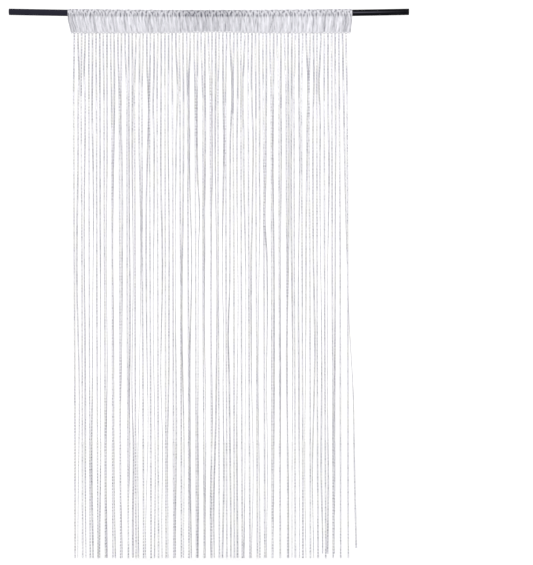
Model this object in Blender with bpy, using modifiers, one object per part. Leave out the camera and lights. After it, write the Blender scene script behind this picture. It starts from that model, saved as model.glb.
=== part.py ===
"""A string curtain on its rod: a gathered sleeve of silvery knit hangs from a plain steel rod, and a level
row of flat braided strings hangs from the sleeve's lower edge.

Metres, +Z up. The origin is the middle of the rod's axis. +X runs along the rod to the viewer's right, and
the viewer looks along +Y. The rod bows down a little in the middle, so its ends lie above the origin.
"""

from collections import namedtuple
from math import asin, cos, exp, pi, radians, sin

import bmesh
import bpy
from mathutils import Matrix

# Rod
ROD_LENGTH = 1.458
ROD_DIAMETER = 0.0235
ROD_BOW = 0.0075
ROD_SIDES = 24
ROD_STEPS = 12

# Sleeve, which the rod runs through
SLEEVE_WALL = 0.0012
SLEEVE_EASE = 0.0006
SLEEVE_LEFT_AT_ROD = -0.5141
SLEEVE_RIGHT_AT_ROD = 0.5196
SLEEVE_LEFT_AT_SEAM = -0.4977
SLEEVE_RIGHT_AT_SEAM = 0.5104
SLEEVE_COLUMNS = 112
ARC_POINTS = 7
SIDE_POINTS = 2
BEND_POINTS = 3
BEND_RADIUS = 0.0015

# Folds of the sleeve, as waves along its width. The drifts crowd and spread them, and the change makes some
# deep and some shallow.
FOLD_COUNT = 27
FOLD_OVER_ROD = 0.0014
FOLD_ON_SIDES = 0.0032
FOLD_AT_SEAM = 0.0018
BACK_SHIFT = 1.9
Wave = namedtuple("Wave", "turns size start")
FOLD_DRIFTS = (Wave(turns=5.3, size=0.9, start=0.7), Wave(turns=13.1, size=0.6, start=2.1))
FOLD_CHANGE = Wave(turns=8.7, size=0.28, start=1.3)

# Seam, where the strings begin. It rises a little in the middle, where the sleeve is drawn wider.
SEAM_DROP = 0.0708
SEAM_RISE = 0.0036
SEAM_RISE_AT = 0.02
SEAM_RISE_REACH = 0.12

# Edge strip, into which the strings' roots are knitted
STRIP_HEIGHT = 0.004
STRIP_DEPTH = 0.003
STRIP_STEPS = 36
STRIP_INSET = 0.0015
GAP = 0.0003

# Strings, with evenly spaced roots
STRING_COUNT = 76
FIRST_ROOT = -0.4908
STRING_PITCH = 0.01321
STRING_WIDTH = 0.0050
STRING_THICKNESS = 0.0016
HEM_DROP = 1.9838
ROOT_INSIDE = 0.002
ROOT_STRAIGHT = 0.010
LAYER_SPREAD = 0.0028
LAYER_REACHED_AT = 0.15
TAUT_STEPS = 8
LOOSE_STEPS = 15
TAUT_SWAY = 0.0004
LOOSE_SWAY = (0.0020, 0.0058)
LOOSE_WAVES = (0.7, 2.1)
QUICK_WAVES = 1.3
QUICK_SHARE = 0.25
SWAY_FULL_AT = 0.25

# The taut strings hang in an even row in front, spaced a little wider than every second root, so that in
# three places two loose strings hang between them. The row leans to the right on its way down.
ROW_COUNT = 37
ROW_FIRST = -0.4937
ROW_PITCH = 0.02767
ROW_LEAN = 0.0062
ROW_REACHED_AT = 0.12

# Turns of the flat strings. A step turns less than 30 degrees, or the thin section would pass through
# itself.
TAUT_TURN = radians(30)
LOOSE_TURN = radians(75)
TURN_WAVES = (0.3, 0.7)
TURN_FULL_AT = 0.5

# Three strings near the right, counted from 0 at the left, are cut short. The last loose one is shorter
# still and hangs out past the row.
SHORT_STRINGS = (68, 70, 72)
SHORT_BY = 0.016
SWINGING_STRING = 74
SWINGING_SHORT_BY = 0.036
SWING_LEAN = 0.042
SWING_BEND = 0.012
SWING_BENDS_AT = (0.50, 0.70)

# Irrational steps, which spread phases evenly over the strings with no two alike
GOLDEN_STEP = 0.6180340
PLASTIC_STEP = 0.7548777
SILVER_STEP = 0.4142136

# Where loose strings are drawn together: the place along the rod, the depths below the seam between
# which they are, how far to each side the pull reaches, and how strong it is.
Gather = namedtuple("Gather", "x top foot reach pull")
GATHERS = (
    Gather(x=-0.4682, top=0.00, foot=0.26, reach=0.034, pull=0.30),
    Gather(x=-0.2132, top=0.08, foot=0.42, reach=0.040, pull=0.34),
    Gather(x=-0.0932, top=0.00, foot=0.40, reach=0.046, pull=0.32),
    Gather(x=0.1078, top=0.00, foot=0.40, reach=0.052, pull=0.30),
    Gather(x=0.1878, top=0.50, foot=0.82, reach=0.034, pull=0.38),
    Gather(x=-0.0202, top=0.50, foot=0.80, reach=0.034, pull=0.36),
    Gather(x=0.3858, top=0.00, foot=0.34, reach=0.044, pull=0.32),
    Gather(x=0.0618, top=0.88, foot=1.30, reach=0.034, pull=0.36),
    Gather(x=-0.3882, top=1.10, foot=2.00, reach=0.036, pull=0.40),
    Gather(x=-0.2682, top=1.25, foot=1.80, reach=0.038, pull=0.34),
    Gather(x=-0.1582, top=1.20, foot=1.80, reach=0.036, pull=0.36),
    Gather(x=-0.0082, top=1.35, foot=2.10, reach=0.044, pull=0.42),
    Gather(x=0.2338, top=1.15, foot=1.95, reach=0.038, pull=0.42),
    Gather(x=0.4218, top=1.55, foot=2.20, reach=0.044, pull=0.40),
)


def bow(x):
    """Height of the rod's axis: lowest in the middle, ROD_BOW higher at both ends."""
    return ROD_BOW * (2 * x / ROD_LENGTH) ** 2


def seam_height(x):
    """Height of the line where the strings leave the edge strip."""
    return -SEAM_DROP + SEAM_RISE * exp(-(((x - SEAM_RISE_AT) / SEAM_RISE_REACH) ** 2))


def part_of_one(value):
    return value - int(value)


def between(low, high, share):
    return low + (high - low) * share


def ease(share):
    """0 to 1 with level ends."""
    share = min(max(share, 0.0), 1.0)
    return share * share * (3 - 2 * share)


def new_object(name, mesh, collection):
    built = bpy.data.objects.new(name, mesh)
    collection.objects.link(built)
    return built


def mesh_from(bm, name):
    bmesh.ops.recalc_face_normals(bm, faces=bm.faces)
    mesh = bpy.data.meshes.new(name)
    bm.to_mesh(mesh)
    bm.free()
    return mesh


def as_helper(built):
    """A tool for a Boolean or a bevel, which isn't part of the object."""
    built.hide_render = True
    built.display_type = "WIRE"
    return built


def principled(name, colour, roughness, metallic):
    made = bpy.data.materials.new(name)
    made.use_nodes = True
    shader = made.node_tree.nodes["Principled BSDF"]
    shader.inputs["Base Color"].default_value = (*colour, 1)
    shader.inputs["Roughness"].default_value = roughness
    shader.inputs["Metallic"].default_value = metallic
    return made


def follow_height(bm, height):
    """Shears a bar that lies along X so that it follows a height, with its end faces left upright."""
    for vert in bm.verts:
        vert.co.z += height(vert.co.x)


def steps_along_x(bm, steps):
    """Divides a bar's long edges into this many steps."""
    long_edges = [e for e in bm.edges if abs(e.verts[0].co.x - e.verts[1].co.x) > ROD_DIAMETER]
    bmesh.ops.subdivide_edges(bm, edges=long_edges, cuts=steps - 1, use_grid_fill=True)


# Rod


def make_rod(collection):
    bm = bmesh.new()
    radius = ROD_DIAMETER / 2
    bmesh.ops.create_cone(
        bm, cap_ends=True, segments=ROD_SIDES, radius1=radius, radius2=radius, depth=ROD_LENGTH
    )
    bmesh.ops.rotate(bm, verts=bm.verts, matrix=Matrix.Rotation(pi / 2, 3, "Y"))
    steps_along_x(bm, ROD_STEPS)
    follow_height(bm, bow)
    mesh = mesh_from(bm, "rod")
    mesh.shade_smooth()
    mesh.set_sharp_from_angle(angle=radians(40))
    mesh.materials.append(principled("rod_paint", (0.012, 0.012, 0.016), 0.35, 0.0))
    return new_object("rod", mesh, collection)


# Sleeve


def fold(across, shift):
    """The sleeve's uneven folds, from -1 to 1, where across runs from -1 to 1 along its width."""
    drift = sum(w.size * sin(w.turns * across + w.start + shift) for w in FOLD_DRIFTS)
    change = sin(FOLD_CHANGE.turns * across + FOLD_CHANGE.start + shift)
    height = 1 - FOLD_CHANGE.size * (1 - change)
    return height * sin(pi * FOLD_COUNT * across + drift + shift)


def arc(radius, centre_height, start, end, count):
    """Points in a section of the sleeve, as depth from the viewer and height."""
    angles = [between(start, end, i / (count - 1)) for i in range(count)]
    return [(radius * cos(a), centre_height + radius * sin(a)) for a in angles]


def straight(start, end, count):
    """The points between two ends, which aren't repeated."""
    shares = [(i + 1) / (count + 1) for i in range(count)]
    return [(between(start[0], end[0], s), between(start[1], end[1], s)) for s in shares]


def sleeve_section(drop, over_radius):
    """The closed line of the cloth round the rod: an arc over the rod, two straight sides tangent to it,
    and a narrow bend at the seam, this far under the rod's axis."""
    reach = drop - BEND_RADIUS
    lean = asin((over_radius - BEND_RADIUS) / reach)
    over = arc(over_radius, 0, -lean, pi + lean, ARC_POINTS)
    under = arc(BEND_RADIUS, -reach, pi + lean, 2 * pi - lean, BEND_POINTS)
    front = straight(over[-1], under[0], SIDE_POINTS)
    back = straight(under[-1], over[0], SIDE_POINTS)
    return over + front + under + back


def sleeve_point(across, index):
    """One point of the cloth's middle surface."""
    middle = between(SLEEVE_LEFT_AT_SEAM, SLEEVE_RIGHT_AT_SEAM, (across + 1) / 2)
    axis = bow(middle)
    hem = seam_height(middle) + STRIP_HEIGHT + GAP + SLEEVE_WALL / 2
    drop = axis - hem
    half_step = pi / (ARC_POINTS - 1) / 2
    radius = (ROD_DIAMETER / 2 + SLEEVE_EASE) / cos(half_step) + SLEEVE_WALL / 2
    over_radius = radius + FOLD_OVER_ROD * (1 + fold(across, 0)) / 2
    depth, height = sleeve_section(drop, over_radius)[index]
    if ARC_POINTS <= index < ARC_POINTS + SIDE_POINTS:
        depth -= FOLD_ON_SIDES * fold(across, 0)
    elif ARC_POINTS + SIDE_POINTS <= index < ARC_POINTS + SIDE_POINTS + BEND_POINTS:
        depth -= FOLD_AT_SEAM * fold(across, 0)
    elif index >= ARC_POINTS:
        depth += FOLD_ON_SIDES * fold(across, BACK_SHIFT)
    below = min(max(-height / drop, 0), 1)
    left = between(SLEEVE_LEFT_AT_ROD, SLEEVE_LEFT_AT_SEAM, below)
    right = between(SLEEVE_RIGHT_AT_ROD, SLEEVE_RIGHT_AT_SEAM, below)
    return between(left, right, (across + 1) / 2), depth, axis + height


def make_sleeve(collection):
    ring = ARC_POINTS + 2 * SIDE_POINTS + BEND_POINTS
    bm = bmesh.new()
    bmesh.ops.create_grid(bm, x_segments=SLEEVE_COLUMNS - 1, y_segments=ring, size=1)
    for vert in bm.verts:
        index = round((vert.co.y + 1) / 2 * ring) % ring
        vert.co = sleeve_point(vert.co.x, index)
    bmesh.ops.remove_doubles(bm, verts=bm.verts, dist=1e-6)
    mesh = mesh_from(bm, "heading")
    mesh.shade_smooth()
    mesh.materials.append(principled("silver_knit", (0.72, 0.72, 0.76), 0.55, 0.25))
    sleeve = new_object("heading", mesh, collection)
    wall = sleeve.modifiers.new("wall", "SOLIDIFY")
    wall.thickness = SLEEVE_WALL
    wall.offset = 0
    wall.use_even_offset = True
    return sleeve


# Strings


def phase(index, step):
    return part_of_one((index + 1) * step)


def row_x(number):
    """Place of a taut string in the even row, at the height of the seam."""
    return ROW_FIRST + number * ROW_PITCH


# The taut string in each place of the row is the one whose root is nearest.
ROW_NUMBERS = {round((row_x(number) - FIRST_ROOT) / STRING_PITCH): number for number in range(ROW_COUNT)}


def is_loose(index):
    """The strings that aren't in the row wander behind it."""
    return index not in ROW_NUMBERS


def root_x(index):
    return FIRST_ROOT + index * STRING_PITCH


def string_length(index):
    length = HEM_DROP + seam_height(root_x(index))
    if index == SWINGING_STRING:
        return length - SWINGING_SHORT_BY
    return length - (SHORT_BY if index in SHORT_STRINGS else 0)


def sway(index, depth):
    """Sideways wander of a string at this depth below the seam, nothing at its root."""
    share = depth / HEM_DROP
    first = 2 * pi * phase(index, GOLDEN_STEP)
    second = 2 * pi * phase(index, PLASTIC_STEP)
    grown = ease(share / SWAY_FULL_AT)
    if not is_loose(index):
        return TAUT_SWAY * grown * sin(2 * pi * share + first)
    width = between(*LOOSE_SWAY, phase(index, SILVER_STEP))
    waves = between(*LOOSE_WAVES, phase(index, PLASTIC_STEP))
    slow = sin(2 * pi * waves * share + first)
    quick = sin(2 * pi * (waves + QUICK_WAVES) * share + second)
    return width * grown * between(slow, quick, QUICK_SHARE)


def gathered(x, depth):
    """How far the gathers draw a string at x sideways at this depth."""
    moved = 0.0
    for gather in GATHERS:
        off = (x - gather.x) / gather.reach
        down = (depth - gather.top) / (gather.foot - gather.top)
        if abs(off) < 1 and 0 < down < 1:
            moved -= gather.pull * gather.reach * off * (1 - off * off) * sin(pi * down) ** 2
    return moved


def swing_out(index, share):
    """How far the last loose string hangs out past the others, which it passes at mid-height."""
    if index != SWINGING_STRING:
        return 0.0
    start, end = SWING_BENDS_AT
    return SWING_LEAN * share + SWING_BEND * ease((share - start) / (end - start))


def string_place(index, depth):
    """Centre of a string at this depth below the seam. The second of two loose neighbours hangs furthest
    back."""
    x = root_x(index)
    below = max(depth - ROOT_STRAIGHT, 0.0)
    share = below / HEM_DROP
    if is_loose(index):
        layer = 3 if is_loose(index - 1) else 1
        x_here = x + gathered(x, below) + swing_out(index, share)
    else:
        layer = -1
        x_in_row = row_x(ROW_NUMBERS[index]) + ROW_LEAN * share
        x_here = between(x, x_in_row, ease(share / ROW_REACHED_AT))
    y_here = layer * LAYER_SPREAD * ease(below / LAYER_REACHED_AT)
    return x_here + sway(index, below), y_here, seam_height(x) - depth


def string_turn(index, depth):
    """Turn of a flat string about its own length, from face on at its root."""
    share = depth / HEM_DROP
    limit = LOOSE_TURN if is_loose(index) else TAUT_TURN
    start = 2 * pi * phase(index, SILVER_STEP)
    waves = between(*TURN_WAVES, phase(index, GOLDEN_STEP))
    return limit * ease(share / TURN_FULL_AT) * sin(2 * pi * waves * share + start)


def string_section(helpers):
    """A flat diamond, the outline of one braided string."""
    data = bpy.data.curves.new("string_section", "CURVE")
    data.dimensions = "2D"
    data.fill_mode = "NONE"
    spline = data.splines.new("POLY")
    spline.points.add(3)
    half_width, half_thickness = STRING_WIDTH / 2, STRING_THICKNESS / 2
    corners = ((half_width, 0), (0, half_thickness), (-half_width, 0), (0, -half_thickness))
    for point, (x, y) in zip(spline.points, corners):
        point.co = (x, y, 0, 1)
    spline.use_cyclic_u = True
    return as_helper(new_object("string_section", data, helpers))


def add_string(data, index):
    """One string as a spline from inside the edge strip down to its cut end."""
    length = string_length(index)
    steps = LOOSE_STEPS if is_loose(index) else TAUT_STEPS
    hanging = [between(ROOT_STRAIGHT, length, i / steps) for i in range(steps + 1)]
    depths = [-ROOT_INSIDE, *hanging]
    spline = data.splines.new("POLY")
    spline.points.add(len(depths) - 1)
    for point, depth in zip(spline.points, depths):
        point.co = (*string_place(index, depth), 1)
        point.tilt = string_turn(index, max(depth, 0.0))


def make_strings(collection, helpers):
    data = bpy.data.curves.new("string_lines", "CURVE")
    data.dimensions = "3D"
    data.bevel_mode = "OBJECT"
    data.bevel_object = string_section(helpers)
    data.use_fill_caps = True
    for index in range(STRING_COUNT):
        add_string(data, index)
    lines = new_object("string_lines", data, helpers)
    bpy.context.view_layer.update()
    graph = bpy.context.evaluated_depsgraph_get()
    bm = bmesh.new()
    bm.from_mesh(bpy.data.meshes.new_from_object(lines.evaluated_get(graph)))
    bmesh.ops.remove_doubles(bm, verts=bm.verts, dist=1e-6)
    bpy.data.objects.remove(lines)
    hanging = as_helper(new_object("hanging_strings", mesh_from(bm, "hanging_strings"), helpers))

    mesh = strip_mesh()
    mesh.materials.append(principled("silver_braid", (0.80, 0.80, 0.84), 0.35, 0.45))
    strings = new_object("strings", mesh, collection)
    join = strings.modifiers.new("roots", "BOOLEAN")
    join.operation = "UNION"
    join.solver = "EXACT"
    join.object = hanging
    return strings


def strip_mesh():
    """The narrow edge under the sleeve, which the roots are knitted into."""
    left = SLEEVE_LEFT_AT_SEAM + STRIP_INSET
    right = SLEEVE_RIGHT_AT_SEAM - STRIP_INSET
    bm = bmesh.new()
    bmesh.ops.create_cube(bm, size=1)
    bmesh.ops.scale(bm, verts=bm.verts, vec=(right - left, STRIP_DEPTH, STRIP_HEIGHT))
    bmesh.ops.translate(bm, verts=bm.verts, vec=((left + right) / 2, 0, STRIP_HEIGHT / 2))
    steps_along_x(bm, STRIP_STEPS)
    follow_height(bm, seam_height)
    return mesh_from(bm, "strings")


def main():
    for old in list(bpy.data.objects):
        bpy.data.objects.remove(old)
    curtain = bpy.data.collections.new("string_curtain_on_rod")
    helpers = bpy.data.collections.new("helpers")
    bpy.context.scene.collection.children.link(curtain)
    bpy.context.scene.collection.children.link(helpers)
    make_rod(curtain)
    make_sleeve(curtain)
    make_strings(curtain, helpers)


main()
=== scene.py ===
# A string curtain on its rod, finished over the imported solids: a ruched sleeve of silvery knit round a
# plain black rod, and a level row of flat braided strings, each with a ribbon of mirror foil down its face.
# Metres, +Z up. The viewer looks along +Y.

from math import pi, radians

import bpy
import numpy as np
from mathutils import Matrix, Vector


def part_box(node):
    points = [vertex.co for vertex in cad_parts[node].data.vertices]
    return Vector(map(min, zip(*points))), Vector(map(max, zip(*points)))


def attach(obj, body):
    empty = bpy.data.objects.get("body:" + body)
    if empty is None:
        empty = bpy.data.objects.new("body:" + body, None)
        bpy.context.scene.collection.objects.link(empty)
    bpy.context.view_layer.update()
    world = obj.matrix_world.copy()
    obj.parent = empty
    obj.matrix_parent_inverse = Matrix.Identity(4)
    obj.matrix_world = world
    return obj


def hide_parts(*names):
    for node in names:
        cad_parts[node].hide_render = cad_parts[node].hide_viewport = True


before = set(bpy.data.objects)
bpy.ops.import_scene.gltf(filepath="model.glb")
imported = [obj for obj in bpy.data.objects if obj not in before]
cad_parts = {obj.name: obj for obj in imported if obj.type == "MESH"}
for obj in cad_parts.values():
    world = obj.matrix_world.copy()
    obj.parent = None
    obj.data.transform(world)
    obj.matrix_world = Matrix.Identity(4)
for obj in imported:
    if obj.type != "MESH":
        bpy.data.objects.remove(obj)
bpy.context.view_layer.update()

rodLow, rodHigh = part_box("rod")
sleeveLow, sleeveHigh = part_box("heading")
stringsLow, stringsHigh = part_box("strings")
print("frame loaded")


# Numbers and waves

def between(low, high, share):
    return low + (high - low) * share


def ease(share):
    share = np.clip(share, 0, 1)  # 0 to 1 with level ends
    return share * share * (3 - 2 * share)


def bump(distance, reach):
    return np.exp(-(distance / reach) ** 2)  # 1 at the middle, falling off on both sides


def fromNearest(value):
    return value - np.round(value)  # how far a value is from the nearest whole number


def wave(x, length, start=0.0):
    return np.sin(2 * pi * x / length + start)  # one full turn for each length


# Meshes from arrays

def gridFaces(rows, across, closed):
    # Four corners of each cell of a grid of points, row after row, where closed joins the last across to
    # the first.
    cells = across if closed else across - 1
    row = np.arange(rows - 1)[:, None] * across
    here = np.arange(cells)[None, :]
    beside = (here + 1) % across
    corners = (row + here, row + across + here, row + across + beside, row + beside)
    return np.stack(corners, axis=-1).reshape(-1, 4)


def newPiece(name, points, quads, triangles=None, uvs=None, attributes=None, smooth=True):
    mesh = bpy.data.meshes.new(name)
    corners = quads.ravel()
    sizes = np.full(len(quads), 4)
    if triangles is not None:
        corners = np.concatenate([corners, triangles.ravel()])
        sizes = np.concatenate([sizes, np.full(len(triangles), 3)])
    mesh.vertices.add(len(points))
    mesh.vertices.foreach_set("co", np.ascontiguousarray(points, dtype=np.float32).ravel())
    mesh.loops.add(len(corners))
    mesh.loops.foreach_set("vertex_index", corners.astype(np.int32))
    mesh.polygons.add(len(sizes))
    starts = np.concatenate([[0], np.cumsum(sizes)[:-1]])
    mesh.polygons.foreach_set("loop_start", starts.astype(np.int32))
    mesh.update(calc_edges=True)
    mesh.polygons.foreach_set("use_smooth", np.full(len(sizes), smooth))
    if uvs is not None:
        layer = mesh.uv_layers.new(name="OFBake")
        layer.uv.foreach_set("vector", uvs.astype(np.float32).ravel())
    for key, values in (attributes or {}).items():
        layer = mesh.attributes.new(key, "FLOAT", "POINT")
        layer.data.foreach_set("value", values.astype(np.float32).ravel())
    made = bpy.data.objects.new(name, mesh)
    bpy.context.scene.collection.objects.link(made)
    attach(made, "root")
    return made


# Shader nodes as expressions

class Socket:
    # A socket that adds, multiplies and compares like a number, and makes its Math nodes as it goes.

    def __init__(self, finish, output):
        self.finish = finish
        self.output = output

    def maths(self, operation, first, second=0.0):
        return self.finish.node("ShaderNodeMath", {"operation": operation}, {0: first, 1: second})

    def __add__(self, other):
        return self.maths("ADD", self, other)

    def __radd__(self, other):
        return self.maths("ADD", other, self)

    def __sub__(self, other):
        return self.maths("SUBTRACT", self, other)

    def __rsub__(self, other):
        return self.maths("SUBTRACT", other, self)

    def __mul__(self, other):
        return self.maths("MULTIPLY", self, other)

    def __rmul__(self, other):
        return self.maths("MULTIPLY", other, self)

    def __truediv__(self, other):
        return self.maths("DIVIDE", self, other)

    def __lt__(self, other):
        return self.maths("LESS_THAN", self, other)

    def __gt__(self, other):
        return self.maths("GREATER_THAN", self, other)

    def __abs__(self):
        return self.maths("ABSOLUTE", self)

    def most(self, other):
        return self.maths("MAXIMUM", self, other)

    def least(self, other):
        return self.maths("MINIMUM", self, other)

    def sine(self):
        return self.maths("SINE", self)

    def floor(self):
        return self.maths("FLOOR", self)

    def fraction(self):
        return self.maths("FRACT", self)


class Finish:
    # One material. node() adds any node: its settings first, then the values or links of its sockets.

    def __init__(self, name):
        self.material = bpy.data.materials.new(name)
        self.material.use_nodes = True
        self.tree = self.material.node_tree
        self.shader = self.tree.nodes["Principled BSDF"]

    def node(self, kind, settings=None, sockets=None, output=0):
        made = self.tree.nodes.new(kind)
        for key, value in (settings or {}).items():
            if key == "stops":
                self.setStops(made.color_ramp, value)
            else:
                setattr(made, key, value)
        for key, value in (sockets or {}).items():
            self.feed(made.inputs[key], value)
        return Socket(self, made.outputs[output])

    def setStops(self, ramp, stops):
        # Steps without blending, evenly spaced, one for each colour in the list.
        ramp.interpolation = "CONSTANT"
        while len(ramp.elements) < len(stops):
            ramp.elements.new(0.5)
        for number, element in enumerate(ramp.elements):
            element.position = number / len(stops)
        for element, colour in zip(ramp.elements, stops):
            element.color = (*colour, 1)

    def feed(self, socket, value):
        if isinstance(value, Socket):
            self.tree.links.new(value.output, socket)
        else:
            socket.default_value = value

    def set(self, **sockets):
        for key, value in sockets.items():
            spaced = "".join(" " + letter if letter.isupper() else letter for letter in key).strip()
            self.feed(self.shader.inputs[spaced], value)

    def mixed(self, share, first, second):
        sockets = {"Factor": share, "A": first, "B": second}
        made = self.tree.nodes.new("ShaderNodeMix")
        made.data_type = "RGBA"
        for key, value in sockets.items():
            wanted = [s for s in made.inputs if s.name == key and s.enabled]
            self.feed(wanted[0], value)
        return Socket(self, [s for s in made.outputs if s.enabled][0])

    def colours(self, value, stops):
        # One colour for each column of a pattern, by a value from 0 to 1.
        return self.node("ShaderNodeValToRGB", {"stops": stops}, {0: value})

    def levels(self, value, stops):
        return self.colours(value, [(level,) * 3 for level in stops]) * 1.0

    def chance(self, first, second):
        # A number from 0 to 1 for each pair of whole numbers.
        pair = self.node("ShaderNodeCombineXYZ", sockets={0: first, 1: second})
        return self.node("ShaderNodeTexWhiteNoise", {"noise_dimensions": "2D"}, {"Vector": pair})

    def rise(self, value, low, high):
        settings = {"interpolation_type": "SMOOTHSTEP"}
        return self.node("ShaderNodeMapRange", settings, {0: value, 1: low, 2: high, 3: 0.0, 4: 1.0})

    def attribute(self, name):
        return self.node("ShaderNodeAttribute", {"attribute_name": name}, output=2)

    def bakeMap(self):
        # The two numbers of the piece's own map.
        place = self.node("ShaderNodeUVMap", {"uv_map": "OFBake"})
        sockets = {0: place}
        across = self.node("ShaderNodeSeparateXYZ", sockets=sockets, output=0)
        return across, Socket(self, across.output.node.outputs[1])

    def place(self):
        # The object's own coordinates, whole and as three numbers.
        whole = self.node("ShaderNodeTexCoord", output=3)
        x = self.node("ShaderNodeSeparateXYZ", sockets={0: whole})
        outputs = x.output.node.outputs
        return whole, x, Socket(self, outputs[1]), Socket(self, outputs[2])

    def relief(self, height, distance):
        sockets = {"Height": height, "Distance": distance, "Strength": 1.0}
        return self.node("ShaderNodeBump", sockets=sockets)


# Rod

rod = {
    "length": rodHigh[0] - rodLow[0],
    "diameter": rodHigh[1] - rodLow[1],
    "sides": 48,
    "steps": 72,
    "roundedEnd": 0.0007,
    "paint": (0.0025, 0.0025, 0.004, 1),
    "dulled": (0.0155, 0.015, 0.0245, 1),  # where it has been handled, at the left
    "dullFrom": 0.40,
    "dullTo": -0.50,
    "highlightPaint": (0.060, 0.058, 0.076, 1),  # a painted highlight: a soft light line along the front of its right end
    "highlightFrom": 0.72,
    "highlightTo": 0.53,
    "highlightDrop": 0.0008,  # below the middle of its front
    "highlightReach": (0.0006, 0.0034),
    "worn": (0.02, 0.02, 0.026, 1),
    "scratchScale": (14, 900, 900),  # drawn out along the rod
    "cloudScale": 30.0,
}
rod["bow"] = rodHigh[2] - rodLow[2] - rod["diameter"]


def bow(x):
    return rod["bow"] * (2 * x / rod["length"]) ** 2  # a shallow bowl, its ends higher than its middle


def makeRod():
    # A circle carried along the bowed axis, drawn in at both ends for a soft edge and closed at two poles.
    half, radius, soft = rod["length"] / 2, rod["diameter"] / 2, rod["roundedEnd"]
    corner = np.linspace(0, pi / 2, 5)[:-1]
    endX = half - soft * (1 - np.sin(corner))[::-1]
    endRadius = radius - soft * (1 - np.cos(corner))[::-1]
    middleX = np.linspace(-half + soft, half - soft, rod["steps"] + 1)[1:-1]
    x = np.concatenate([-endX[::-1], middleX, endX])
    size = np.concatenate([endRadius[::-1], np.full(len(middleX), radius), endRadius])
    order = np.argsort(x, kind="stable")
    x, size = x[order][:, None], size[order][:, None]
    turn = np.linspace(0, 2 * pi, rod["sides"], endpoint=False)[None, :]
    grid = np.stack([x + 0 * turn, size * np.cos(turn), bow(x) + size * np.sin(turn)], axis=-1)
    poles = np.array([[x[0, 0], 0, bow(x[0, 0])], [x[-1, 0], 0, bow(x[-1, 0])]])
    points = np.concatenate([grid.reshape(-1, 3), poles])
    quads = gridFaces(len(x), rod["sides"], closed=True)[:, ::-1]
    here = np.arange(rod["sides"])
    beside = (here + 1) % rod["sides"]
    last = (len(x) - 1) * rod["sides"]
    leftCap = np.stack([beside, here, np.full_like(here, len(points) - 2)], axis=-1)
    rightCap = np.stack([last + here, last + beside, np.full_like(here, len(points) - 1)], axis=-1)
    return newPiece("rodBar", points, quads, triangles=np.concatenate([leftCap, rightCap]))


def rodPaint():
    # Satin black paint with long drawn scratches, duller and greyer towards the left end, and a painted
    # highlight along the middle of its front at the right end.
    finish = Finish("rodPaint")
    place, along, depth, upright = finish.place()
    stretched = finish.node("ShaderNodeMapping", sockets={"Vector": place, "Scale": rod["scratchScale"]})
    drawn = {"Vector": stretched, "Scale": 1.0, "Detail": 3.0}
    broad = {"Vector": place, "Scale": rod["cloudScale"], "Detail": 4.0}
    scratches = finish.node("ShaderNodeTexNoise", sockets=drawn)
    clouds = finish.node("ShaderNodeTexNoise", sockets=broad)
    dull = 1 - finish.rise(along, rod["dullTo"], rod["dullFrom"])
    shade = finish.mixed(dull, rod["paint"], rod["dulled"])
    worn = finish.mixed(finish.rise(clouds, 0.5, 0.9) * 0.35, shade, rod["worn"])
    # Painted highlight: a soft lighter line along the middle of the front at the right end, where a
    # reflection streak would show.
    fromFront = abs(upright - along * along * (4 * rod["bow"] / rod["length"] ** 2) + rod["highlightDrop"])
    paintedHighlight = (1 - finish.rise(fromFront, *rod["highlightReach"])) * (depth < 0)
    paintedHighlight = paintedHighlight * (1 - finish.rise(along, rod["highlightTo"], rod["highlightFrom"])) * (along > 0.5)
    finish.set(
        BaseColor=finish.mixed(paintedHighlight, worn, rod["highlightPaint"]),
        Roughness=0.22 + 0.40 * dull + 0.08 * scratches,
        Normal=finish.relief(scratches, 0.00003),
    )
    finish.shader.inputs["Specular IOR Level"].default_value = 0.03
    return finish.material


rodBar = makeRod()
rodBar.data.materials.append(rodPaint())
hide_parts("rod")
print("rod done")


# Seam, where the sleeve ends and the strings begin, and the strings' roots along it

seam = {
    "left": -0.4977,
    "right": 0.5104,
    "drop": 0.0708,
    "rise": 0.0036,
    "riseAt": 0.02,
    "riseReach": 0.12,
    "stripHeight": 0.004,
}

roots = {
    "count": 76,
    "first": -0.4908,
    "pitch": 0.01321,
}


def seamHeight(x):
    return -seam["drop"] + seam["rise"] * bump(x - seam["riseAt"], seam["riseReach"])


# Sleeve

sleeve = {
    "leftAtRod": sleeveLow[0],
    "rightAtRod": sleeveHigh[0] + 0.0020,
    "radius": 0.0136,
    "drawnIn": 0.0005,
    "overhang": (0.0065, 0.0062),  # past the first and last strings, at the seam
    "slantFrom": 0.36,  # of the drop, above which its ends hang straight
    "bend": 0.0021,
    "aboveStrip": 0.0003,
    "columns": 780,
    "overPoints": 24,
    "frontPoints": 18,
    "bendPoints": 4,
    "backPoints": 14,
    "wall": 0.0005,
    "foldCount": 27,
    "foldOverRod": 0.0012,
    "foldOnSides": 0.0032,
    "foldAtSeam": 0.0018,
    "foldDrifts": ((0.9, 5.3, 0.7), (0.6, 13.1, 2.1)),  # size, turns and start of each
    "foldChange": (0.28, 8.7, 1.3),
    "backShift": 1.9,
    "ribHeight": 0.0009,
    "ribReach": 0.17,  # of a string's pitch
    "ruche": 0.0008,
    "fineRuche": 0.0002,
    "tuckDepth": 0.0017,
    "tuckReach": 0.0019,
    "markSpacing": 0.0091,
    "mapBand": 0.48,  # of the map's height, for each half of its outside
    "mapGap": 0.01,
    "mapInside": 0.03,
    "cutWidth": 1.12,
    "cutHeight": 0.185,
}
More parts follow.
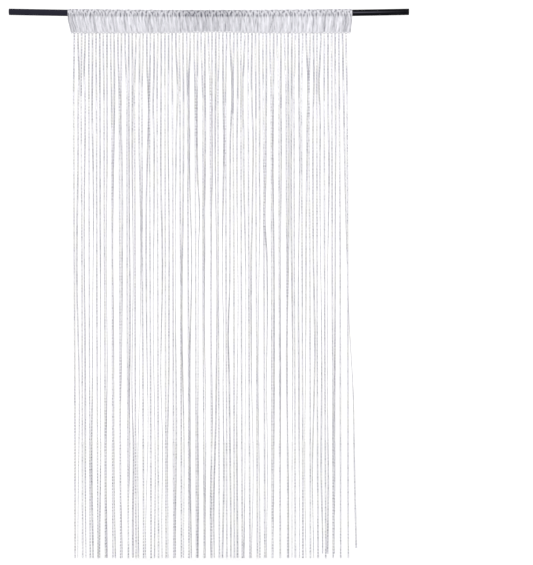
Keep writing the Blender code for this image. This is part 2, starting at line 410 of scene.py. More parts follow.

# The deep tucks, dented in and darkened with painted shade: place along the seam, lean to the right over
# their height, half their width at the seam where one opens like a fan, and how deep and dark they are.
tucks = (
    (-0.478, 0.003, 0.000, 1.0), (-0.438, 0.001, 0.000, 1.0), (-0.405, 0.002, 0.004, 0.5),
    (-0.352, 0.000, 0.000, 0.4), (-0.296, 0.001, 0.003, 0.4), (-0.209, 0.000, 0.009, 0.8),
    (-0.175, 0.001, 0.000, 0.8), (-0.161, 0.000, 0.000, 0.7), (-0.096, 0.002, 0.005, 0.4),
    (-0.020, 0.000, 0.004, 0.3), (0.060, -0.002, 0.000, 0.4), (0.118, 0.001, 0.004, 0.4),
    (0.162, 0.003, 0.000, 0.8), (0.174, 0.002, 0.000, 0.8), (0.229, -0.001, 0.010, 0.9),
    (0.265, 0.000, 0.000, 0.5), (0.318, -0.001, 0.003, 0.4), (0.373, 0.001, 0.000, 0.6),
    (0.412, -0.002, 0.004, 0.5), (0.448, -0.001, 0.000, 1.0), (0.487, -0.002, 0.002, 1.0),
)

# How much painted shade each thing puts on the knit's colour; the folds' share paints their crests lighter
# and their troughs darker
darkening = {
    "betweenRibs": 0.50,
    "betweenRuches": 0.6,
    "weave": 0.10,
    "tucks": 1.1,
    "fans": 0.4,
    "folds": 0.22,
    "rodEdge": 1.1,
    "marks": 0.6,
    "ends": 0.42,
    "inside": 0.3,  # of what the outside has
    "most": 1.6,
}


def fold(across, shift):
    # A row of waves whose spacing drifts and whose height changes along the sleeve.
    drifts = sleeve["foldDrifts"]
    drift = sum(size * np.sin(turns * across + start + shift) for size, turns, start in drifts)
    size, turns, start = sleeve["foldChange"]
    change = np.sin(turns * across + start + shift)
    return (1 - size * (1 - change)) * np.sin(pi * sleeve["foldCount"] * across + drift + shift)


def sleeveLine(drop, radius):
    # The closed line of the cloth round the rod, for every column at once: an arc over the rod from back to
    # front, a straight front, a narrow bend at the seam and a straight back. Gives depth, height, the
    # direction it faces, and how far down the front or back each point is.
    reach = drop - sleeve["bend"]
    lean = np.arcsin((radius - sleeve["bend"]) / reach)
    level = 0 * radius
    over = np.linspace(0, 1, sleeve["overPoints"])[None, :] + level
    front = (np.arange(sleeve["frontPoints"])[None, :] + 1) / (sleeve["frontPoints"] + 1) + level
    under = np.linspace(0, 1, sleeve["bendPoints"])[None, :] + level
    back = (np.arange(sleeve["backPoints"])[None, :] + 1) / (sleeve["backPoints"] + 1) + level
    facing = np.concatenate(
        [
            between(-lean, pi + lean, over),
            pi + lean + 0 * front,
            between(pi + lean, 2 * pi - lean, under),
            2 * pi - lean + 0 * back,
        ],
        axis=1,
    )
    away = np.concatenate(
        [
            radius + 0 * over,
            between(radius, sleeve["bend"], front),
            sleeve["bend"] + 0 * under,
            between(sleeve["bend"], radius, back),
        ],
        axis=1,
    )
    sunk = np.concatenate([0 * over, front, 1 + 0 * under, 1 - back], axis=1)
    return away * np.cos(facing), away * np.sin(facing) - reach * sunk, facing, sunk


def sleeveRelief(across, x, facing, sunk):
    # How far the cloth stands out: slow folds, a rib above each string, deep tucks, and crossed waves where
    # the pocket is drawn up over the rod.
    isFront = np.where(np.cos(facing) < 0, 1.0, 0.0)
    slow = np.where(isFront > 0, fold(across, 0), fold(across, sleeve["backShift"]))
    down = np.sin(0.8 * pi * sunk) ** 0.8
    onRod = 1 - ease(sunk / 0.22)
    wobble = 0.0022 * wave(x, 0.047, 1.1 * isFront) * np.sin(pi * sunk)
    wobble = wobble + 0.0012 * wave(x, 0.0203, 2.0) * np.sin(2 * pi * sunk)
    rib = bump(fromNearest((x + wobble - roots["first"]) / roots["pitch"]), sleeve["ribReach"])
    rib = rib * between(0.35, 1.0, 1 - onRod)
    drawn = x + 0.004 * wave(x, 0.083) + 0.0018 * wave(x, 0.031)
    leftward = np.sin(2 * pi * drawn / 0.0124 + 2.3 * facing + 1.2 * wave(x, 0.061))
    rightward = np.sin(2 * pi * drawn / 0.0103 - 3.1 * facing + 1.4 * wave(x, 0.045, 1.0))
    ruching = np.maximum(leftward, rightward) * between(0.25, 1.0, onRod)
    patches = mottle(x, 2.2 * facing + 3.0 * sunk)
    fine = wave(drawn, 0.0047, 1.7 * facing) * wave(x, 0.0171, 5.0 * sunk)
    tucked = 0 * sunk
    fanned = 0 * sunk
    for place, lean, spread, strength in tucks:
        off = np.abs(x - place - lean * (sunk - 1) + 0.0012 * np.sin(6 * sunk + 40 * place)) - spread * sunk
        length = ease(sunk / 0.18) * (1 - 0.5 * ease((sunk - 0.85) / 0.15))
        dip = bump(off, sleeve["tuckReach"]) - 0.45 * bump(off - 0.005, 0.003)
        tucked = tucked - strength * length * dip
        fanned = fanned + strength * length * ease(-off / 0.004)
    standOut = sleeve["foldOverRod"] * (1 + fold(across, 0)) / 2 * onRod
    standOut = standOut + slow * sleeve["foldOnSides"] * down * np.where(sunk < 1, 1, 0)
    standOut = standOut + slow * sleeve["foldAtSeam"] * np.where(sunk < 1, 0, 1) * isFront
    standOut = standOut + sleeve["ribHeight"] * rib + sleeve["ruche"] * ruching + sleeve["fineRuche"] * fine
    standOut = standOut + sleeve["tuckDepth"] * tucked
    rodEdge = bump(sunk - 0.10, 0.09) * isFront
    # Painted shade for the knit's colour: darker between ribs and ruches, in the weave, tucks, fans,
    # patches and marks, at the ends and along the rod's edge, and lighter on fold crests.
    hollow = darkening["betweenRibs"] * (1 - rib) * (1 - onRod)
    hollow = hollow + darkening["betweenRuches"] * ease(0.3 - ruching) * onRod
    hollow = hollow + darkening["weave"] * (1 - fine)
    hollow = hollow + darkening["tucks"] * np.clip(-tucked, 0, 1) + darkening["fans"] * fanned
    hollow = hollow - darkening["folds"] * slow * down
    hollow = hollow + ease(1.3 * patches - 0.1) * between(0.35, 1.0, onRod)
    hollow = hollow + darkening["rodEdge"] * rodEdge * ease(1.6 * mottle(1.7 * x + 0.3, 1.3 * facing) + 0.1)
    slanted = (x + 0.0025 * wave(x, 0.037) + 0.007 * sunk * wave(x, 0.21)) / sleeve["markSpacing"]
    marked = ease(1.4 * mottle(1.3 * x + 0.7, 1.9 * facing + 4.2 * sunk) - 0.2)
    hollow = hollow + darkening["marks"] * marked * bump(fromNearest(slanted), 0.16)
    ends = bump(x - seam["left"], 0.030) + bump(x - seam["right"], 0.026)
    hollow = hollow + darkening["ends"] * ends * (1 - onRod)
    return standOut, np.clip(hollow, 0, darkening["most"])


def mottle(x, around):
    # Uneven patches: four slanted waves of different lengths, added up.
    waves = ((0.0131, 0.9, 0.3), (0.0187, -1.4, 1.9), (0.0257, 2.2, 4.0), (0.0103, -2.9, 5.1))
    return sum(np.sin(2 * pi * x / length + slope * around + start) for length, slope, start in waves) / 2


def makeSleeve():
    # The grid runs round the cloth's line, and along the rod out to the right on the cloth's outside and
    # back to the left on its inside, where every second column is enough.
    out = np.linspace(-1, 1, sleeve["columns"] + 1)
    across = np.concatenate([out, out[::-2], out[:1]])[:, None]
    inset = np.where(np.arange(len(across)) < len(out), 0, sleeve["wall"])[:, None]
    inset[-1] = 0
    x = between(seam["left"], seam["right"], (across + 1) / 2)
    drop = bow(x) - seamHeight(x) - seam["stripHeight"] - sleeve["aboveStrip"]
    radius = sleeve["radius"] - sleeve["drawnIn"] * bump(x + 0.02, 0.3)
    depth, height, facing, sunk = sleeveLine(drop, radius)
    standOut, hollow = sleeveRelief(across, x, facing, sunk)
    standOut = standOut - inset
    hollow = hollow * np.where(inset > 0, darkening["inside"], 1.0)
    depth = depth + standOut * np.cos(facing)
    height = height + standOut * np.sin(facing)
    below = np.clip((-height / drop - sleeve["slantFrom"]) / (1 - sleeve["slantFrom"]), 0, 1)
    left = between(sleeve["leftAtRod"], seam["left"] - sleeve["overhang"][0], below)
    right = between(sleeve["rightAtRod"], seam["right"] + sleeve["overhang"][1], below)
    placed = between(left, right, (across + 1) / 2)
    grid = np.stack([placed, depth, bow(x) + height], axis=-1)
    rows, ring = grid.shape[:2]
    quads = gridFaces(rows, ring, closed=True)[:, ::-1] % ((rows - 1) * ring)
    overRod = 1 - ease((-0.008 - height) / 0.006)
    drawnThin = bump(x + 0.005, 0.125) + 0 * height
    attributes = {"hollow": hollow, "overRod": overRod, "drawnThin": drawnThin}
    attributes = {key: values[:-1] for key, values in attributes.items()}
    return newPiece(
        "knitSleeve", grid[:-1].reshape(-1, 3), quads, uvs=sleeveMap(rows, ring), attributes=attributes
    )


def sleeveMap(rows, ring):
    # The outside is cut in two halves along the rod, and each lies flat in its own band of the map, with
    # the inside in a narrow band over them.
    outer = sleeve["columns"]
    row = np.arange(rows - 1)[:, None]
    here = np.arange(ring)[None, :]
    band = np.minimum(row * 2 // outer, 2)
    start = band * outer / 2
    length = np.where(band < 2, outer / 2, rows - 1 - outer)
    low, high = (row - start) / length + 0 * here, (row + 1 - start) / length + 0 * here
    base = band * sleeve["mapBand"] + np.where(band < 2, 0.0, sleeve["mapGap"])
    tall = np.where(band < 2, sleeve["mapBand"], sleeve["mapInside"])
    near, far = base + tall * here / ring, base + tall * (here + 1) / ring
    corners = ((low, far), (high, far), (high, near), (low, near))
    return np.stack([np.stack(corner, axis=-1) for corner in corners], axis=-2).reshape(-1, 2)


knit = {
    "stitchesAlong": 196,
    "stitchesRound": 84,  # on each half of the outside
    "stitchDepth": 0.00035,
    "fleckScale": 620.0,
    "cloudScale": 24.0,
    "shaded": (0.71, 0.705, 0.75, 1),
    "lit": (0.885, 0.875, 0.925, 1),
    "dark": (0.09, 0.09, 0.115, 1),
    "fleck": (0.92, 0.92, 0.95, 1),
    "inHollows": 0.46,  # this and the next four are how dark each place is painted: painted shade in hollows and stitch grooves, and darker over the rod and where drawn thin
    "inGrooves": 0.08,
    "overRod": 0.155,
    "thinOverRod": 0.07,
    "drawnThin": 0.14,
}


def silverKnit():
    # Columns of small V stitches with foil flecks. Painted shade darkens it in the hollows, and it is
    # painted darker where the black rod shows through, most of all where it is drawn thin.
    finish = Finish("silverKnit")
    across, around = finish.bakeMap()
    stitchAcross = across * knit["stitchesAlong"]
    stitchAround = (around / sleeve["mapBand"]).fraction() * knit["stitchesRound"]
    slope = abs(stitchAcross.fraction() - 0.5)
    legs = ((stitchAround + slope * 1.1) * (2 * pi)).sine() * 0.5 + 0.5
    groove = finish.rise(slope, 0.36, 0.5)
    place = finish.place()[0]
    fine = {"Vector": place, "Scale": knit["fleckScale"], "Detail": 1.0}
    broad = {"Vector": place, "Scale": knit["cloudScale"], "Detail": 3.0}
    flecks = finish.node("ShaderNodeTexNoise", sockets=fine)
    clouds = finish.node("ShaderNodeTexNoise", sockets=broad)
    hollow = finish.attribute("hollow")
    overRod = finish.attribute("overRod")
    thin = finish.attribute("drawnThin")
    silver = finish.mixed(legs * 0.5 + clouds * 0.3, knit["shaded"], knit["lit"])
    shade = hollow * knit["inHollows"] + groove * knit["inGrooves"] + overRod * knit["overRod"]
    shade = shade + thin * overRod * knit["thinOverRod"] + thin * knit["drawnThin"]
    dark = finish.mixed(shade, silver, knit["dark"])
    glint = finish.rise(flecks, 0.64, 0.70)
    finish.set(
        BaseColor=finish.mixed(glint * 0.6, dark, knit["fleck"]),
        Roughness=0.62 - glint * 0.30,
        Metallic=0.12 + glint * 0.6,
        Normal=finish.relief(legs * (1 - groove), knit["stitchDepth"]),
    )
    return finish.material


knitSleeve = makeSleeve()
knitSleeve.data.materials.append(silverKnit())
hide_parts("heading")
print("sleeve done")


# Strings

strings = {
    "hemDrop": -stringsLow[2],
    "wave": 0.0055,
    "ringsPerWave": 4,
    "wavesPerRun": 8,
    "rootInside": 0.0022,
    "rootStraight": 0.010,
    "layerSpread": 0.0028,
    "layerReachedAt": 0.15,
    "tautSway": 0.0004,
    "looseSway": (0.0020, 0.0058),
    "looseWaves": (0.7, 2.1),
    "quickWaves": 1.3,
    "quickShare": 0.25,
    "swayFullAt": 0.25,
    "tautTurn": radians(30),
    "looseTurn": radians(75),
    "turnWaves": (0.3, 0.7),
    "turnFullAt": 0.5,
    "shortStrings": (68, 70, 72),
    "shortBy": 0.016,
    "swinging": 74,
    "swingingShortBy": 0.036,
    "swingLean": 0.042,
    "swingBend": 0.012,
    "swingBendsAt": (0.50, 0.70),
}

# The taut strings hang in an even row in front, spaced a little wider than every second root. The row
# leans to the right on its way down.
row = {
    "count": 37,
    "first": -0.4937,
    "pitch": 0.02767,
    "lean": 0.0062,
    "reachedAt": 0.12,
}

braid = {
    "half": 0.0021,
    "lobe": 0.0015,
    "front": 0.0002,
    "back": 0.0015,
    "foilHalf": 0.00115,
    "foilFront": 0.00072,
    "foilBack": 0.0001,
    "lobeForward": 0.0002,
    "looks": 8,  # columns of the pattern, the darker ones first
    "darkLooks": 3,
    "steadyShare": 0.40,
    "runsNearSeam": 5.0,
    "mapInset": 0.02,
}

# Where loose strings are drawn together: the place along the rod, the depths below the seam between
# which they are, how far to each side the pull reaches, and how strong it is.
gathers = (
    (-0.4682, 0.00, 0.26, 0.034, 0.30),
    (-0.2132, 0.08, 0.42, 0.040, 0.34),
    (-0.0932, 0.00, 0.40, 0.046, 0.32),
    (0.1078, 0.00, 0.40, 0.052, 0.30),
    (0.1878, 0.50, 0.82, 0.034, 0.38),
    (-0.0202, 0.50, 0.80, 0.034, 0.36),
    (0.3858, 0.00, 0.34, 0.044, 0.32),
    (0.0618, 0.88, 1.30, 0.034, 0.36),
    (-0.3882, 1.10, 2.00, 0.036, 0.40),
    (-0.2682, 1.25, 1.80, 0.038, 0.34),
    (-0.1582, 1.20, 1.80, 0.036, 0.36),
    (-0.0082, 1.35, 2.10, 0.044, 0.42),
    (0.2338, 1.15, 1.95, 0.038, 0.42),
    (0.4218, 1.55, 2.20, 0.044, 0.40),
)

# Irrational steps, which spread phases evenly over the strings with no two alike
goldenStep, plasticStep, silverStep = 0.6180340, 0.7548777, 0.4142136


def phase(index, step):
    return (index + 1) * step % 1


def rootX(index):
    return roots["first"] + index * roots["pitch"]


def rowNumbers():
    # Each string's place in the even row, where the one with the nearest root hangs, or -1 for a loose one.
    numbers = np.full(roots["count"], -1)
    places = row["first"] + np.arange(row["count"]) * row["pitch"]
    nearest = np.round((places - roots["first"]) / roots["pitch"]).astype(int)
    numbers[nearest] = np.arange(row["count"])
    return numbers


rowNumber = rowNumbers()
isLoose = rowNumber < 0


def stringLength(index):
    cut = np.where(np.isin(index, strings["shortStrings"]), strings["shortBy"], 0)
    cut = np.where(index == strings["swinging"], strings["swingingShortBy"], cut)
    return strings["hemDrop"] + seamHeight(rootX(index)) - cut


def sway(index, depth):
    # Sideways wander: one slow wave on a taut string, a slow and a quicker one mixed on a loose one.
    share = depth / strings["hemDrop"]
    first = 2 * pi * phase(index, goldenStep)
    second = 2 * pi * phase(index, plasticStep)
    grown = ease(share / strings["swayFullAt"])
    taut = strings["tautSway"] * np.sin(2 * pi * share + first)
    width = between(*strings["looseSway"], phase(index, silverStep))
    waves = between(*strings["looseWaves"], phase(index, plasticStep))
    slow = np.sin(2 * pi * waves * share + first)
    quick = np.sin(2 * pi * (waves + strings["quickWaves"]) * share + second)
    loose = width * between(slow, quick, strings["quickShare"])
    return grown * np.where(isLoose[index], loose, taut)


def gathered(x, depth):
    # Each gather draws strings towards its own line, most at its middle height and not at all at its edges.
    moved = 0 * (x + depth)
    for place, top, foot, reach, pull in gathers:
        off = np.clip((x - place) / reach, -1, 1)
        down = np.clip((depth - top) / (foot - top), 0, 1)
        moved = moved - pull * reach * off * (1 - off * off) * np.sin(pi * down) ** 2
    return moved


def swingOut(index, share):
    # The last loose string hangs out past the others, which it passes at mid-height.
    start, end = strings["swingBendsAt"]
    swing = strings["swingLean"] * share + strings["swingBend"] * ease((share - start) / (end - start))
    return np.where(index == strings["swinging"], swing, 0)


def stringPlace(index, depth):
    # The middle of a string at this depth below the seam. Taut strings hang in front, loose ones behind,
    # and the second of two loose neighbours furthest back.
    x = rootX(index)
    below = np.maximum(depth - strings["rootStraight"], 0)
    share = below / strings["hemDrop"]
    inRow = row["first"] + rowNumber[index] * row["pitch"] + row["lean"] * share
    taut = between(x, inRow, ease(share / row["reachedAt"]))
    loose = x + gathered(x, below) + swingOut(index, share)
    placed = np.where(isLoose[index], loose, taut) + sway(index, below)
    layer = np.where(isLoose[index], np.where(isLoose[index - 1], 3, 1), -1)
    behind = layer * strings["layerSpread"] * ease(below / strings["layerReachedAt"])
    return np.stack([placed, behind, seamHeight(x) - depth], axis=-1)


def stringTurn(index, depth):
    # A slow turn to and fro about the string's own length, face on at its root.
    share = np.maximum(depth, 0) / strings["hemDrop"]
    limit = np.where(isLoose[index], strings["looseTurn"], strings["tautTurn"])
    start = 2 * pi * phase(index, silverStep)
    waves = between(*strings["turnWaves"], phase(index, goldenStep))
    return -limit * ease(share / strings["turnFullAt"]) * np.sin(2 * pi * waves * share + start)


def alongStrings(indexes, ringsPerWave):
    # Rings down each string: their numbers, their middles, and the directions across and out of its face.
    waves = round((strings["hemDrop"] - seam["drop"]) / strings["wave"])
    rings = np.arange(waves * ringsPerWave + 1)[None, :]
    index = indexes[:, None]
    inside = strings["rootInside"]
    depth = between(-inside, stringLength(index), rings / rings.max())
    turn = stringTurn(index, depth)
    sideways = np.stack([np.cos(turn), np.sin(turn), 0 * turn], axis=-1)
    outward = np.stack([np.sin(turn), -np.cos(turn), 0 * turn], axis=-1)
    return rings, stringPlace(index, depth), sideways, outward


def tubeFaces(count, rings, around):
    # Sides and end caps of many three-sided tubes.
    quads = gridFaces(rings, around, closed=True)
    start = np.arange(count)[:, None, None] * rings * around
    quads = (quads[None] + start).reshape(-1, 4)
    top = np.array([[0, 1, 2]])
    foot = np.array([[2, 1, 0]]) + (rings - 1) * around
    caps = (np.concatenate([top, foot])[None] + start).reshape(-1, 3)
    return quads, caps


def stringLooks():
    # Down each string, runs of a few waves take one of the pattern's columns: dark ones near the seam and
    # paler ones below it, of which one returns more often on each string. Gives the wave that each string
    # starts its first run at, and the column of each run.
    dice = np.random.default_rng(11)
    count = roots["count"]
    runs = int((strings["hemDrop"] / strings["wave"]) // strings["wavesPerRun"]) + 2
    starts = dice.integers(0, strings["wavesPerRun"], (count, 1))
    steady = dice.integers(braid["darkLooks"], braid["looks"], (count, 1))
    pale = dice.integers(braid["darkLooks"], braid["looks"], (count, runs))
    pale = np.where(dice.random((count, runs)) < braid["steadyShare"], steady, pale)
    dark = dice.integers(0, braid["darkLooks"], (count, runs))
    isNear = np.arange(runs)[None, :] < dice.normal(braid["runsNearSeam"], 1.5, (count, 1))
    return starts, np.where(isNear, dark, pale)


def runMap(indexes, rings, ringsPerWave):
    # The faces go across a column of the pattern from the left rim to the right one, on the front and on
    # the back.
    starts, columns = stringLooks()
    perRun = strings["wavesPerRun"] * ringsPerWave
    step = np.arange(rings - 1)[None, :] + starts[indexes] * ringsPerWave
    column = np.take_along_axis(columns[indexes], step // perRun, axis=1)[:, :, None]
    top = 1 - (step % perRun)[:, :, None] / perRun
    foot = top - 1 / perRun
    edge = braid["mapInset"]
    low = (column + between(edge, 1 - edge, np.array([0.0, 1.0, 0.5]))) / braid["looks"]
    high = (column + between(edge, 1 - edge, np.array([1.0, 0.5, 0.0]))) / braid["looks"]
    top, foot = top + 0 * low, foot + 0 * low
    corners = ((low, top), (low, foot), (high, foot), (high, top))
    sides = np.stack([np.stack(corner, axis=-1) for corner in corners], axis=-2).reshape(-1, 2)
    caps = np.tile([[0.01, 0.99], [0.02, 0.99], [0.01, 0.98]], (2 * len(indexes), 1))
    return np.concatenate([sides, caps])


def roundLobe(waves):
    # Half circles in a row, with a sharp notch between one and the next.
    return np.sqrt(1 - (2 * (waves % 1) - 1) ** 2)


def makeYarn(name, indexes):
    # A flat band whose left and right rims swell in turn, with a ridge down its back.
    per = strings["ringsPerWave"]
    rings, middle, sideways, outward = alongStrings(indexes, per)
    leftLobe = roundLobe(rings / per)[..., None]
    rightLobe = roundLobe(rings / per + 0.5)[..., None]
    left = middle - sideways * (braid["half"] + braid["lobe"] * leftLobe)
    left = left + outward * (braid["front"] + braid["lobeForward"] * leftLobe)
    right = middle + sideways * (braid["half"] + braid["lobe"] * rightLobe)
    right = right + outward * (braid["front"] + braid["lobeForward"] * rightLobe)
    back = middle - outward * braid["back"]
    points = np.stack([left, right, back], axis=2)
    count, ringCount = points.shape[:2]
    quads, caps = tubeFaces(count, ringCount, 3)
    uvs = runMap(indexes, ringCount, per)
    return newPiece(name, points.reshape(-1, 3), quads, triangles=caps, uvs=uvs)


def makeFoil(name, indexes):
    # A narrow ribbon in front of the yarn that rocks a little from wave to wave, so that it glints.
    rings, middle, sideways, outward = alongStrings(indexes, 1)
    index = indexes[:, None]
    rock = 0.30 * np.sin(2.4 * rings + 7 * index) + 0.14 * np.sin(0.73 * rings + 3 * index)
    rock = rock[..., None]
    start = middle + outward * braid["foilFront"]
    across = braid["foilHalf"] * (sideways * np.cos(rock) + outward * np.sin(rock) * 0.6)
    points = np.stack([start - across, start + across, middle + outward * braid["foilBack"]], axis=2)
    count, ringCount = points.shape[:2]
    quads, caps = tubeFaces(count, ringCount, 3)
    uvs = runMap(indexes, ringCount, 1)
    return newPiece(name, points.reshape(-1, 3), quads, triangles=caps, uvs=uvs, smooth=False)


def braidColumns(finish):
    # Reads the map: which column, how far across it from -1 to 1, and the place along the waves.
    across, along = finish.bakeMap()
    scaled = across * braid["looks"]
    column = (scaled.floor() + 0.5) / braid["looks"]
    across = (scaled.fraction() * 2 - 1) / (1 - 2 * braid["mapInset"])
    return column, across, (1 - along) * strings["wavesPerRun"]


# Distances from a loop's edge inwards, in millimetres. The whites are one for each column of the map:
# cool, lavender and a little creamy.
yarn = {
    "outerCord": (0.50, 0.68),
    "secondCordAt": 1.08,
    "secondCord": (0.14, 0.32),
    "ringAt": 0.74,
    "ring": (0.04, 0.14),
    "crease": (0.04, 0.16),
    "twists": 9,
    "dark": (0.14, 0.14, 0.17, 1),
    # how dark the painted shade between the cords is, on taut and on loose strings
    "tautDeep": 0.17,
    "looseDeep": 0.24,
    "tautTints": (
        (0.72, 0.71, 0.76), (0.70, 0.68, 0.76), (0.75, 0.74, 0.70), (0.90, 0.89, 0.94),
        (0.95, 0.92, 0.99), (0.97, 0.96, 0.91), (0.87, 0.85, 0.92), (0.98, 0.97, 0.99),
    ),
    "looseTints": (
        (0.67, 0.66, 0.71), (0.65, 0.63, 0.71), (0.68, 0.67, 0.64), (0.75, 0.74, 0.79),
        (0.80, 0.77, 0.86), (0.84, 0.83, 0.78), (0.73, 0.71, 0.79), (0.85, 0.84, 0.87),
    ),
}


def lobeShare(fromNotch):
    # The half circles as the rings draw them, with straight lines from one ring to the next.
    return (fromNotch * 3.464).least(fromNotch * 0.536 + 0.732)


def braidedYarn(name, tints, deep):
    # Discs to the left and right in turn. Inwards from its edge each has a white cord, a thin grey ring, a
    # second cord and a thin grey middle, with a crease where it meets the next on its own side.
    # The grey ring, the grey middle and the crease are painted shade in the braid's hollows between its
    # cords.
    finish = Finish(name)
    column, across, waves = braidColumns(finish)
    leftNotch = 0.5 - abs(waves.fraction() - 0.5)
    rightNotch = 0.5 - abs((waves + 0.5).fraction() - 0.5)
    lobes = lobeShare(leftNotch) + lobeShare(rightNotch)
    fromRim = (1 - abs(across)) * (braid["half"] + lobes * (braid["lobe"] / 2)) * 1000  # millimetres
    fromNotch = (leftNotch + (rightNotch - leftNotch) * (across > 0)) * (strings["wave"] * 1000)
    inward = fromRim.least(fromNotch)
    outer = 1 - finish.rise(inward, *yarn["outerCord"])
    second = (1 - finish.rise(abs(inward - yarn["secondCordAt"]), *yarn["secondCord"])) * 0.80
    crease = 1 - finish.rise(fromNotch, *yarn["crease"])
    cord = outer.most(second) * (1 - crease * 0.7)
    ring = 1 - finish.rise(abs(inward - yarn["ringAt"]), *yarn["ring"])
    twist = ((waves * yarn["twists"] + inward * 1.6) * (2 * pi)).sine() * 0.5 + 0.5
    white = finish.colours(column, tints)
    isOdd = (waves * 0.5).fraction() > 0.5
    uneven = finish.chance(waves.floor(), column * braid["looks"]) * 0.18 + isOdd * 0.14
    shade = (1 - cord) * deep + ring * (deep * 0.5) + outer * twist * 0.05 + uneven
    finish.set(
        BaseColor=finish.mixed(shade, white, yarn["dark"]),
        Roughness=0.60 - 0.12 * cord,
    )
    return finish.material


# Places and half widths down one wave, from 0 to 1, each with where its soft edge starts and ends. The
# shares of bars and of brightness are one for each column of the map.
foil = {
    "plateAt": 0.36,
    "plate": (0.24, 0.30),
    "firstBarAt": 0.70,
    "firstBar": (0.045, 0.080),
    "secondBarAt": 0.88,
    "secondBar": (0.035, 0.065),
    "barCurve": 0.07,
    "barred": (1.0, 1.0, 0.95, 0.95, 0.90, 0.75, 0.60, 0.50),
    "level": (0.35, 0.20, 0.50, 0.45, 0.75, 0.60, 0.80, 0.70),
    # The plate, gap and bar colours are painted reflections, dark where the foil would mirror dark
    # surroundings and bright where it would mirror light.
    "darkPlate": (0.075, 0.08, 0.10, 1),
    "brightPlate": (0.97, 0.97, 1.0, 1),
    "darkGap": (0.46, 0.47, 0.51, 1),
    "brightGap": (0.84, 0.84, 0.87, 1),
    "bar": (0.035, 0.035, 0.05, 1),
}


def mirrorFoil():
    # Painted reflections: one bright or dark plate to each wave, brighter on every second one, with one or
    # two thin curved dark bars between plates. Some columns of the map are painted brighter than others.
    finish = Finish("mirrorFoil")
    column, across, waves = braidColumns(finish)
    beat = waves.fraction()
    chance = finish.chance(column * braid["looks"], waves.floor())
    curve = (1 - across * across) * foil["barCurve"]
    isEven = (waves * 0.5).fraction() < 0.5
    plate = 1 - finish.rise(abs(beat - foil["plateAt"]), *foil["plate"])
    first = 1 - finish.rise(abs(beat - curve - foil["firstBarAt"]), *foil["firstBar"])
    second = 1 - finish.rise(abs(beat - curve - foil["secondBarAt"]), *foil["secondBar"])
    second = second * (chance + isEven * 0.4 < 0.75)
    barred = finish.levels(column, foil["barred"])
    level = finish.levels(column, foil["level"])
    bright = finish.rise(chance * 0.40 + level * 0.50 + isEven * 0.50, 0.05, 0.95)
    sheen = finish.mixed(bright, foil["darkPlate"], foil["brightPlate"])
    gap = finish.mixed(level, foil["darkGap"], foil["brightGap"])
    plates = finish.mixed(plate, gap, sheen)
    dark = first.most(second) * barred
    finish.set(
        BaseColor=finish.mixed(dark, plates, foil["bar"]),
        Roughness=0.32 + 0.12 * (1 - plate),
        Metallic=0.55 + 0.45 * plate,
    )
    return finish.material


chain = {
    "stepsPerString": 8,
    "sides": 10,
    "tall": (0.0031, 0.0005),  # half its height, and how much it swells at each string
    "deep": (0.0024, 0.0004),
    "lift": (0.0026, 0.0004),  # above the seam, and how far it dips at each string
    "lit": (0.72, 0.715, 0.75, 1),
    "dark": (0.16, 0.16, 0.19, 1),
    "stitches": (480, 260),  # turns a metre, along and up
    "stitchDepth": 0.0003,
    "cloudScale": 60.0,
}


def makeSeamChain():
    # The knitted edge that the strings hang from: an oval carried along the seam, which dips a little at
    # each string and is nipped between them.
    steps = roots["count"] * chain["stepsPerString"]
    sides = chain["sides"]
    low, high = sleeve["overhang"]
    x = np.linspace(seam["left"] - low, seam["right"] + high, steps + 1)[:, None]
    beat = np.cos(2 * pi * (x - roots["first"]) / roots["pitch"])
    turn = np.linspace(0, 2 * pi, sides, endpoint=False)[None, :]
    tall = chain["tall"][0] + chain["tall"][1] * beat
    deep = chain["deep"][0] + chain["deep"][1] * beat
    middle = seamHeight(x) + chain["lift"][0] - chain["lift"][1] * beat
    shift = -sleeve["foldAtSeam"] / 2 * fold(2 * (x - seam["left"]) / (seam["right"] - seam["left"]) - 1, 0)
    grid = np.stack([x + 0 * turn, shift + deep * np.cos(turn), middle + tall * np.sin(turn)], axis=-1)
    points = np.concatenate([grid.reshape(-1, 3), grid[[0, -1]].mean(axis=1)])
    quads = gridFaces(steps + 1, sides, closed=True)[:, ::-1]
    here = np.arange(sides)
    beside = (here + 1) % sides
    last = steps * sides
    leftCap = np.stack([beside, here, np.full(sides, len(points) - 2)], axis=-1)
    rightCap = np.stack([last + here, last + beside, np.full(sides, len(points) - 1)], axis=-1)
    return newPiece("seamChain", points, quads, triangles=np.concatenate([leftCap, rightCap]))


def chainStitch():
    # Small slanted stitches along the seam, with painted shade between the strings, where it is nipped, and
    # between the stitches.
    finish = Finish("chainStitch")
    place, along, depth, upright = finish.place()
    broad = {"Vector": place, "Scale": chain["cloudScale"], "Detail": 2.0}
    clouds = finish.node("ShaderNodeTexNoise", sockets=broad)
    stitch = ((along * chain["stitches"][0] + upright * chain["stitches"][1]) * (2 * pi)).sine() * 0.5 + 0.5
    beat = ((along - roots["first"]) * (2 * pi / roots["pitch"]) + pi / 2).sine() * 0.5 + 0.5
    shade = (1 - beat) * 0.30 + (1 - stitch) * 0.15 + finish.rise(clouds, 0.45, 0.70) * 0.35
    finish.set(
        BaseColor=finish.mixed(shade, chain["lit"], chain["dark"]),
        Roughness=0.6 + 0.15 * stitch,
        Normal=finish.relief(stitch, chain["stitchDepth"]),
    )
    return finish.material


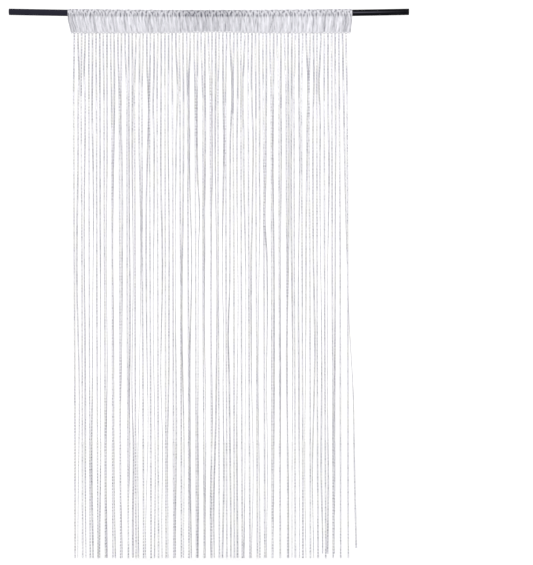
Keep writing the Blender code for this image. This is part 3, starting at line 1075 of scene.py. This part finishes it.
taut = np.flatnonzero(~isLoose)
loose = np.flatnonzero(isLoose)
tautYarn = braidedYarn("tautYarn", yarn["tautTints"], yarn["tautDeep"])
looseYarn = braidedYarn("looseYarn", yarn["looseTints"], yarn["looseDeep"])
seamChain = makeSeamChain()
seamChain.data.materials.append(chainStitch())
hanging = [seamChain]
half = len(taut) // 2
for name, indexes, finish in (
    ("tautYarnLeft", taut[:half], tautYarn),
    ("tautYarnRight", taut[half:], tautYarn),
    ("looseYarnLeft", loose[:half], looseYarn),
    ("looseYarnRight", loose[half:], looseYarn),
):
    braided = makeYarn(name, indexes)
    braided.data.materials.append(finish)
    hanging.append(braided)
foilRibbons = makeFoil("foilRibbons", np.arange(roots["count"]))
foilRibbons.data.materials.append(mirrorFoil())
hanging.append(foilRibbons)
for piece in hanging:
    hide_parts("strings")
print("strings done")


# Room, light and view

studio = {
    "pixel": 0.003646,  # metres of the curtain's plane to one pixel of the picture
    "wide": 533,
    "tall": 565,
    "originAt": (209.0, 13.9),
    "distance": 6.0,
    "sensor": 36.0,
    "floorGap": 0.014,
    "floorSize": 9.0,
    "skyStrength": 1.10,
}

# Soft lights: where each is, what it points at, its width and height, and its watts
lights = {
    "keyLight": ((-1.8, -3.6, 1.6), (0, 0, -0.9), (1.6, 0.8), 30.0),
    "rodLight": ((0.9, -2.2, 0.85), (0.6, 0, 0), (0.9, 0.12), 16.0),
}


def makeFloor():
    half = studio["floorSize"] / 2
    height = stringsLow[2] - studio["floorGap"]
    mesh = bpy.data.meshes.new("floor")
    corners = [(-half, -half, height), (half, -half, height), (half, half, height), (-half, half, height)]
    mesh.from_pydata(corners, [], [(0, 1, 2, 3)])
    made = bpy.data.objects.new("floor", mesh)
    bpy.context.scene.collection.objects.link(made)
    finish = Finish("paleFloor")
    finish.set(BaseColor=(0.93, 0.93, 0.93, 1), Roughness=0.9)
    finish.shader.inputs["Specular IOR Level"].default_value = 0.1
    mesh.materials.append(finish.material)


def addSoftLight(name, place, aim, size, power):
    data = bpy.data.lights.new(name, "AREA")
    data.shape = "RECTANGLE"
    data.size, data.size_y = size
    data.energy = power
    lamp = bpy.data.objects.new(name, data)
    lamp.location = place
    direction = np.subtract(aim, place)
    flat = np.hypot(direction[0], direction[1])
    tilt = pi / 2 + np.arctan2(direction[2], flat)
    lamp.rotation_euler = (tilt, 0, np.arctan2(-direction[0], direction[1]))
    bpy.context.scene.collection.objects.link(lamp)


def addCamera():
    data = bpy.data.cameras.new("camera")
    data.sensor_width = studio["sensor"]
    data.lens = studio["sensor"] * studio["distance"] / (studio["tall"] * studio["pixel"])
    camera = bpy.data.objects.new("camera", data)
    x = (studio["wide"] / 2 - studio["originAt"][0]) * studio["pixel"]
    z = (studio["originAt"][1] - studio["tall"] / 2) * studio["pixel"]
    camera.location = (x, -studio["distance"], z)
    camera.rotation_euler = (pi / 2, 0, 0)
    bpy.context.scene.collection.objects.link(camera)
    bpy.context.scene.camera = camera


def setSky():
    world = bpy.data.worlds.new("studioSky")
    world.use_nodes = True
    background = world.node_tree.nodes["Background"]
    background.inputs["Color"].default_value = (1, 1, 1, 1)
    background.inputs["Strength"].default_value = studio["skyStrength"]
    bpy.context.scene.world = world
    bpy.context.scene.view_settings.view_transform = "Standard"
    bpy.context.scene.view_settings.look = "None"


makeFloor()
for name, settings in lights.items():
    addSoftLight(name, *settings)
addCamera()
setSky()
print("studio done")
